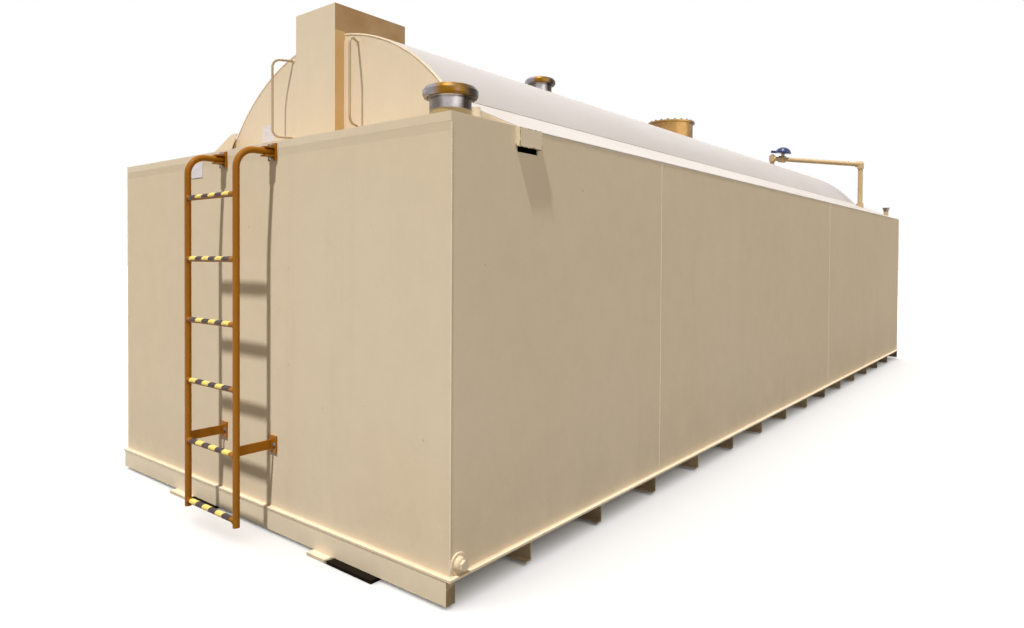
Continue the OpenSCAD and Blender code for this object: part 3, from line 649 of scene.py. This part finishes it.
clip_low, clip_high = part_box("ladder_top_clips")
clip_mid = (clip_low.z + clip_high.z) / 2
lower_mid = (lower_low.z + lower_high.z) / 2
top_face = clip_high.y - (lower_high.y - lower_low.y)
top_reach, lower_reach, forwards = 0.033, 0.019, (0, -1, 0)
clip_bolts = [((x, top_face, clip_mid + dz), forwards) for x in rail_xs for dz in (-top_reach, top_reach)]
clip_bolts += [((x + dx, lower_low.y, lower_mid), forwards) for x in rail_xs for dx in (-lower_reach, lower_reach)]
zinc, zinc_tree, zinc_shader = new_material("zinc_bolt")
tarnish = noise(zinc_tree, object_place(zinc_tree), 180.0, 4.0, 0.6)
bright_zinc, brown_zinc = (0.42, 0.40, 0.37), (0.24, 0.19, 0.13)
wire(zinc_tree, blend_colour(zinc_tree, ramp(zinc_tree, tarnish, 0.4, 0.65), bright_zinc, brown_zinc),
     zinc_shader.inputs["Base Color"])
wire(zinc_tree, ramp(zinc_tree, tarnish, 0.3, 0.7, 0.32, 0.6), zinc_shader.inputs["Roughness"])
zinc_shader.inputs["Metallic"].default_value = 0.9
grow("clip_bolts", bolt_points("clip_bolts", clip_bolts), bolt, "vent_metal", zinc, Across=0.0085, Head=0.006,
     Washer=0.0115)

# Hazard tape: bands of grit tape, yellow and near black by turns, on every rung.
# Stuck on by their own glue, lapped over the top and cut at a slant, so a boot doesn't slip.
tape, tape_in, tape_out = node_tree_with("tape_band", [("Rung Radius", 0.0135), ("Length", 0.078),
                                                      ("Thickness", 0.0012), ("Slant", 0.010)])
band = tape.nodes.new("GeometryNodeMeshCylinder")
band.fill_type = "NONE"
band.inputs["Vertices"].default_value = 40
wire(tape, maths(tape, "ADD", tape_in.outputs["Rung Radius"], 0.0001), band.inputs["Radius"])
wire(tape, tape_in.outputs["Length"], band.inputs["Depth"])
where = axes(tape, tape.nodes.new("GeometryNodeInputPosition").outputs[0])
trim = tape.nodes.new("GeometryNodeDeleteGeometry")
trim.domain = "FACE"
wire(tape, band.outputs["Mesh"], trim.inputs["Geometry"])
wire(tape, maths(tape, "GREATER_THAN", where["X"],
                 maths(tape, "MULTIPLY", tape_in.outputs["Rung Radius"], 0.25)), trim.inputs["Selection"])
skew = tape.nodes.new("ShaderNodeCombineXYZ")
wire(tape, maths(tape, "MULTIPLY", maths(tape, "DIVIDE", where["Y"], tape_in.outputs["Rung Radius"]),
                 tape_in.outputs["Slant"]), skew.inputs["Z"])
slide = tape.nodes.new("GeometryNodeSetPosition")
wire(tape, trim.outputs[0], slide.inputs["Geometry"])
wire(tape, skew.outputs[0], slide.inputs["Offset"])
under = tape.nodes.new("GeometryNodeFlipFaces")
wire(tape, slide.outputs[0], under.inputs["Mesh"])
thick = tape.nodes.new("GeometryNodeExtrudeMesh")
thick.inputs["Individual"].default_value = False
wire(tape, slide.outputs[0], thick.inputs["Mesh"])
wire(tape, tape_in.outputs["Thickness"], thick.inputs["Offset Scale"])
closed = tape.nodes.new("GeometryNodeJoinGeometry")
wire(tape, under.outputs[0], closed.inputs[0])
wire(tape, thick.outputs["Mesh"], closed.inputs[0])
weld_up = tape.nodes.new("GeometryNodeMergeByDistance")
weld_up.inputs["Distance"].default_value = 0.00001
wire(tape, closed.outputs[0], weld_up.inputs["Geometry"])
lay = tape.nodes.new("GeometryNodeTransform")
lay.inputs["Rotation"].default_value = Euler((0, math.pi / 2, 0))
wire(tape, weld_up.outputs[0], lay.inputs["Geometry"])
bands = tape.nodes.new("GeometryNodeInstanceOnPoints")
wire(tape, tape_in.outputs["Geometry"], bands.inputs["Points"])
wire(tape, lay.outputs[0], bands.inputs["Instance"])
finish_tree(tape, tape_in, tape_out, bands.outputs[0], False)


def grit_tape(name, colour, scuffed):
    material, tree, shader = new_material(name)
    spot = object_place(tree)
    grit = noise(tree, spot, 700.0, 2.0, 0.6)
    scuff = ramp(tree, noise(tree, spot, 40.0, 5.0, 0.7), 0.5, 0.72)
    wire(tree, blend_colour(tree, scuff, colour, scuffed), shader.inputs["Base Color"])
    wire(tree, ramp(tree, grit, 0.3, 0.7, 0.7, 0.95), shader.inputs["Roughness"])
    give_bump(tree, shader, maths(tree, "MULTIPLY", grit, 0.0008), 0.8)
    return material


inner = rail_xs[1] - rail_xs[0] - 2 * rail_r
taped, band_count = 0.88, 6
band_length = taped * inner / band_count
first_x = rail_xs[0] + rail_r + (1 - taped) * inner / 2
yellow_tape = grit_tape("tape_yellow", (0.84, 0.65, 0.17), (0.60, 0.46, 0.18))
dark_tape = grit_tape("tape_dark", (0.052, 0.036, 0.040), (0.13, 0.10, 0.09))
for name, offset, material in (("hazard_tape_yellow", 0, yellow_tape), ("hazard_tape_dark", 1, dark_tape)):
    middles = [(first_x + band_length * (i + 0.5), rail_y, z) for j, z in enumerate(rung_zs)
               for i in range(band_count) if (i + j) % 2 == offset]
    mesh = bpy.data.meshes.new(name + "_points")
    mesh.from_pydata(middles, [], [])
    grow(name, mesh, tape, "ladder_paint", material, **{"Rung Radius": rung_r, "Length": band_length - 0.001,
                                                        "Slant": 0.006})

# Bare plates: two blank aluminium plates, one high on the front wall behind the left rail and one on the tank
# head by the foot of the left grab rail, each held by four blind rivets.
plate_tree, plate_in, plate_out = node_tree_with("bare_plate", [("Width", 0.13), ("Height", 0.08),
                                                               ("Thickness", 0.0016), ("Inset", 0.010)])
size = plate_tree.nodes.new("ShaderNodeCombineXYZ")
for label, axis in (("Width", "X"), ("Thickness", "Y"), ("Height", "Z")):
    wire(plate_tree, plate_in.outputs[label], size.inputs[axis])
sheet = plate_tree.nodes.new("GeometryNodeMeshCube")
wire(plate_tree, size.outputs[0], sheet.inputs["Size"])
corner_size = plate_tree.nodes.new("ShaderNodeVectorMath")
corner_size.operation = "SUBTRACT"
margin = plate_tree.nodes.new("ShaderNodeCombineXYZ")
for axis in ("X", "Z"):
    wire(plate_tree, maths(plate_tree, "MULTIPLY", plate_in.outputs["Inset"], 2.0), margin.inputs[axis])
wire(plate_tree, size.outputs[0], corner_size.inputs[0])
wire(plate_tree, margin.outputs[0], corner_size.inputs[1])
rivet_frame = plate_tree.nodes.new("GeometryNodeMeshCube")
wire(plate_tree, corner_size.outputs[0], rivet_frame.inputs["Size"])
front_only = plate_tree.nodes.new("GeometryNodeDeleteGeometry")
frame_place = axes(plate_tree, plate_tree.nodes.new("GeometryNodeInputPosition").outputs[0])
wire(plate_tree, rivet_frame.outputs["Mesh"], front_only.inputs["Geometry"])
wire(plate_tree, maths(plate_tree, "GREATER_THAN", frame_place["Y"], 0.0), front_only.inputs["Selection"])
rivet = plate_tree.nodes.new("GeometryNodeMeshUVSphere")
rivet.inputs["Segments"].default_value = 14
rivet.inputs["Rings"].default_value = 8
rivet.inputs["Radius"].default_value = 0.0034
rivets = plate_tree.nodes.new("GeometryNodeInstanceOnPoints")
rivets.inputs["Scale"].default_value = (1.0, 0.55, 1.0)
wire(plate_tree, front_only.outputs[0], rivets.inputs["Points"])
wire(plate_tree, rivet.outputs["Mesh"], rivets.inputs["Instance"])
riveted = plate_tree.nodes.new("GeometryNodeJoinGeometry")
wire(plate_tree, sheet.outputs["Mesh"], riveted.inputs[0])
wire(plate_tree, rivets.outputs[0], riveted.inputs[0])
fixed = plate_tree.nodes.new("GeometryNodeInstanceOnPoints")
wire(plate_tree, plate_in.outputs["Geometry"], fixed.inputs["Points"])
wire(plate_tree, riveted.outputs[0], fixed.inputs["Instance"])
finish_tree(plate_tree, plate_in, plate_out, fixed.outputs[0], False)
blank, blank_tree, blank_shader = new_material("blank_plate_metal")
brushed = noise(blank_tree, object_place(blank_tree), 90.0, 4.0, 0.6, (0.15, 1.0, 1.0))
wire(blank_tree, blend_colour(blank_tree, ramp(blank_tree, brushed, 0.35, 0.7), (0.780, 0.730, 0.740),
                              (0.700, 0.640, 0.640)), blank_shader.inputs["Base Color"])
wire(blank_tree, ramp(blank_tree, brushed, 0.3, 0.7, 0.45, 0.62), blank_shader.inputs["Roughness"])
blank_shader.inputs["Metallic"].default_value = 0.1
for name, middle, wide, tall in (
        ("wall_bare_plate", (-0.552, front_y - 0.0018, lip_foot - 0.050), 0.132, 0.082),
        ("head_bare_plate", (-0.620, head_face - 0.0008, 2.150), 0.132, 0.105)):
    mesh = bpy.data.meshes.new(name + "_point")
    mesh.from_pydata([middle], [], [])
    grow(name, mesh, plate_tree, "vent_metal", blank, Width=wide, Height=tall)

# Vents: a turned neck with a weighted lid that lifts if pressure builds, one on the deck corner for the box
# and one on the crown for the tank. Steel with yellow zinc plate in lilac and grey patches, painted at the foot;
# a colour run across each part paints a highlight to one side and shade to the other.


def plated_lit_and_shaded(name, gold, grey, painted_shade, middle, reach, painted_to=None):
    material, tree, shader = new_material(name)
    spot = object_place(tree)
    bloom = noise(tree, spot, 9.0, 4.0, 0.6)
    cloud = noise(tree, spot, 26.0, 3.0, 0.6)
    across = axes(tree, spot)
    # Painted light and shade: colour runs across the part along one fixed sideways direction, the second colour to
    # one side, the first in the middle and the shade colour to the other.
    offset_x = maths(tree, "MULTIPLY", maths(tree, "SUBTRACT", across["X"], middle.x), 0.78)
    offset_y = maths(tree, "MULTIPLY", maths(tree, "SUBTRACT", across["Y"], middle.y), 0.63)
    light_to_shade = maths(tree, "ADD", maths(tree, "DIVIDE", maths(tree, "ADD", offset_x, offset_y), reach),
                maths(tree, "MULTIPLY", maths(tree, "SUBTRACT", bloom, 0.5), 0.7))
    colour = blend_colour(tree, ramp(tree, light_to_shade, -0.65, -0.30), grey, gold)
    colour = blend_colour(tree, ramp(tree, light_to_shade, 0.30, 0.80), colour, painted_shade)
    colour = blend_colour(tree, ramp(tree, cloud, 0.5, 0.78, 0.0, 0.45), colour, grey)
    if painted_to is None:
        shader.inputs["Metallic"].default_value = 0.85
    else:
        ragged_top = maths(tree, "MULTIPLY_ADD", bloom, 0.012, across["Z"])
        painted = ramp(tree, ragged_top, painted_to, painted_to + 0.006, 1.0, 0.0)
        colour = blend_colour(tree, painted, colour, (0.440, 0.320, 0.140))
        wire(tree, maths(tree, "MULTIPLY", maths(tree, "SUBTRACT", 1.0, painted), 0.85), shader.inputs["Metallic"])
    wire(tree, colour, shader.inputs["Base Color"])
    wire(tree, ramp(tree, cloud, 0.3, 0.7, 0.26, 0.46), shader.inputs["Roughness"])
    give_bump(tree, shader, maths(tree, "MULTIPLY", noise(tree, spot, 240.0, 3.0), 0.0004), 0.5)
    return material


gilt, lilac, painted_shade = (0.225, 0.108, 0.006), (0.255, 0.230, 0.255), (0.034, 0.024, 0.016)
pale_zinc, dark_zinc, paint_line = (0.460, 0.435, 0.445), (0.170, 0.145, 0.125), 0.071
for vent in ("corner_vent", "crown_vent"):
    low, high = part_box(vent + "_cap")
    middle, reach = (low + high) / 2, (high.x - low.x) / 2
    dress(vent + "_cap", plated_lit_and_shaded(vent + "_cap_plate", gilt, lilac, painted_shade, middle, reach))
    dress(vent + "_neck", plated_lit_and_shaded(vent + "_neck_plate", pale_zinc, dark_zinc, painted_shade, middle, reach * 0.62,
                                 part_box(vent + "_neck")[0].z + paint_line))
neck_low, neck_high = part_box("corner_vent_neck")
neck_mid = (neck_low + neck_high) / 2
neck_weld_r = 0.1025
grow("corner_vent_weld", run_of_edges("corner_vent_weld", [
    circle_run((neck_mid.x, neck_mid.y, neck_low.z + 0.002), neck_weld_r, "z", 64)]), bead, "box_paint",
     bead_paint, Radius=0.006, Ripple=0.15, Pitch=0.013, Step=0.0043)

# Deck plug: a short half coupling welded to the deck beside the corner vent.
# It is shut with a hexagon plug and painted over with the box.
plug_place, upwards = (1.400, -4.255, neck_low.z), (0, 0, 1)
grow("deck_plug", bolt_points("deck_plug", [(plug_place, upwards)]), bolt, "box_paint", bead_paint,
     **{"Across": 0.014, "Head": 0.018, "Washer": 0.020, "Washer Thickness": 0.030})

# Manway: a rolled neck on the crown with a round cover, for getting into the tank.
# Bronze coloured steel, painted browner to one side and dark to the other as painted light and shade;
# zinc plated bolts hold the cover down all round.
cover_low, cover_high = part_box("manway_cover")
cover_mid = (cover_low + cover_high) / 2
cover_r = (cover_high.x - cover_low.x) / 2
bronze, brown = (0.430, 0.250, 0.085), (0.300, 0.160, 0.065)
for part in ("manway_neck", "manway_cover"):
    dress(part, plated_lit_and_shaded(part + "_plate", bronze, brown, (0.110, 0.055, 0.022), cover_mid, cover_r * 1.3))
bolt_count, bolt_circle, bolt_sink = 20, cover_r - 0.022, 0.004
turns = [2 * math.pi * i / bolt_count for i in range(bolt_count)]
cover_bolts = [((cover_mid.x + bolt_circle * math.cos(turn_by), cover_mid.y + bolt_circle * math.sin(turn_by),
                 cover_high.z - bolt_sink), upwards) for turn_by in turns]
grow("manway_bolts", bolt_points("manway_bolts", cover_bolts), bolt, "vent_metal", zinc, Across=0.0125, Head=0.009,
     Washer=0.0165)

# Transfer line: a nozzle on the crown, a valve with a blue handle, and a pipe that crosses to the right
# shield, turns down at an elbow and goes through a flange to the box. Screwed steel pipe, painted tan.
pipe_tan = coated("transfer_pipe_paint", bump=0.4, Paint=(0.560, 0.400, 0.210), Faded=(0.600, 0.450, 0.260),
                  Grime=road_dust, Streaks=0.2, Dust=0.0, Specks=0.5, Roughness=0.45)
for node_name in ("transfer_nozzle", "transfer_pipe", "transfer_elbow", "transfer_flange", "valve_body"):
    dress(node_name, pipe_tan)
dress("valve_handle", coated("valve_handle_enamel", bump=0.3, clear_coat=0.2, Paint=(0.009, 0.020, 0.105),
                             Faded=(0.015, 0.030, 0.13), Grime=(0.02, 0.02, 0.03), Streaks=0.1, Dust=0.0,
                             Specks=0.4, Roughness=0.35))

# Rear nipple: a short pipe welded to the back deck and painted tan.
# A flared grey cup of zinc plated steel is screwed on as its cap.
dress("rear_nipple", pipe_tan)
low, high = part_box("rear_nipple_cap")
# Painted light and shade: the cup's greys run across it from one side to a dark other side.
cup_greys = (0.200, 0.190, 0.185), (0.240, 0.240, 0.250), (0.090, 0.085, 0.080)
dress("rear_nipple_cap", plated_lit_and_shaded("nipple_cap_plate", *cup_greys, (low + high) / 2, (high.x - low.x) / 2))

# Studio: a pale floor under a white surround, one high key lamp, and soft fills.
# The floor takes its soft shadow from a softbox of its own, and looks white to the camera and in metal.


def background_rays(tree):
    rays = tree.nodes.new("ShaderNodeLightPath").outputs
    return maths(tree, "MAXIMUM", maths(tree, "MAXIMUM", rays["Is Camera Ray"], rays["Is Glossy Ray"]),
                 rays["Is Transmission Ray"])


floor_half, floor_z = 90, -0.001
floor_mesh = bpy.data.meshes.new("studio_floor")
floor_mesh.from_pydata([(x * floor_half, y * floor_half, floor_z) for x, y in ((-1, -1), (1, -1), (1, 1), (-1, 1))],
                       [], [(0, 1, 2, 3)])
floor = bpy.data.objects.new("studio_floor", floor_mesh)
bpy.context.scene.collection.objects.link(floor)
material, tree, shader = new_material("studio_floor_paint")
shader.inputs["Roughness"].default_value = 0.9
shader.inputs["Specular IOR Level"].default_value = 0.0
seen = background_rays(tree)
wire(tree, blend_colour(tree, seen, (0.23, 0.212, 0.185), (0.90, 0.90, 0.90)), shader.inputs["Base Color"])
shader.inputs["Emission Color"].default_value = (1.0, 1.0, 1.0, 1.0)
wire(tree, maths(tree, "MULTIPLY", seen, 0.03), shader.inputs["Emission Strength"])
floor_mesh.materials.append(material)

world = bpy.data.worlds.new("studio_surround")
bpy.context.scene.world = world
world.use_nodes = True
tree = world.node_tree
backdrop = tree.nodes["Background"]
seen = background_rays(tree)
wire(tree, blend_colour(tree, seen, (0.150, 0.147, 0.141), (1.0, 1.0, 1.0)), backdrop.inputs["Color"])
backdrop.inputs["Strength"].default_value = 1.0


def lamp(name, towards, strength, angle, colour=(1, 1, 1)):
    light = bpy.data.lights.new(name, "SUN")
    light.energy = strength
    light.angle = math.radians(angle)
    light.color = colour
    holder = bpy.data.objects.new(name, light)
    holder.rotation_euler = Vector(towards).to_track_quat("Z", "Y").to_euler()
    bpy.context.scene.collection.objects.link(holder)
    return holder


def share_floor(holder, state):
    receivers = bpy.data.collections.new(holder.name + "_receivers")
    receivers.objects.link(floor)
    receivers.collection_objects[0].light_linking.link_state = state
    holder.light_linking.receiver_collection = receivers


key_lamp = lamp("key_lamp", (0.0850, -0.3909, 0.9166), 4.05, 2.0, (1.0, 0.975, 0.955))
share_floor(key_lamp, "EXCLUDE")
floor_lamp = lamp("floor_softbox", (-0.35, -0.20, 1.0), 4.7, 150.0)
share_floor(floor_lamp, "INCLUDE")
lamp("right_fill", (0.95, -0.05, 0.25), 0.91, 60.0, (1.0, 0.965, 0.93))
lamp("left_fill", (-0.70, 0.40, 0.55), 0.6, 90.0)

# Camera: a wide lens at head height off the front right corner, nearly level.
yaw, pitch, roll = 0.6758, -0.0154, 0.0057
eye = (3.3174, -6.41095, 1.3821)
forward = Vector((-math.sin(yaw) * math.cos(pitch), math.cos(yaw) * math.cos(pitch), math.sin(pitch)))
level_right = Vector((math.cos(yaw), math.sin(yaw), 0))
level_up = level_right.cross(forward)
right = math.cos(roll) * level_right + math.sin(roll) * level_up
up = -math.sin(roll) * level_right + math.cos(roll) * level_up
lens = bpy.data.cameras.new("photo_camera")
lens.sensor_width = 36.0
lens.lens = 24.444
lens.shift_y = -0.04454
lens.clip_end = 500.0
camera = bpy.data.objects.new("photo_camera", lens)
camera.matrix_world = Matrix.Translation(eye) @ Matrix((right, up, -forward)).transposed().to_4x4()
bpy.context.scene.collection.objects.link(camera)
bpy.context.scene.camera = camera
bpy.context.scene.view_settings.view_transform = "Standard"
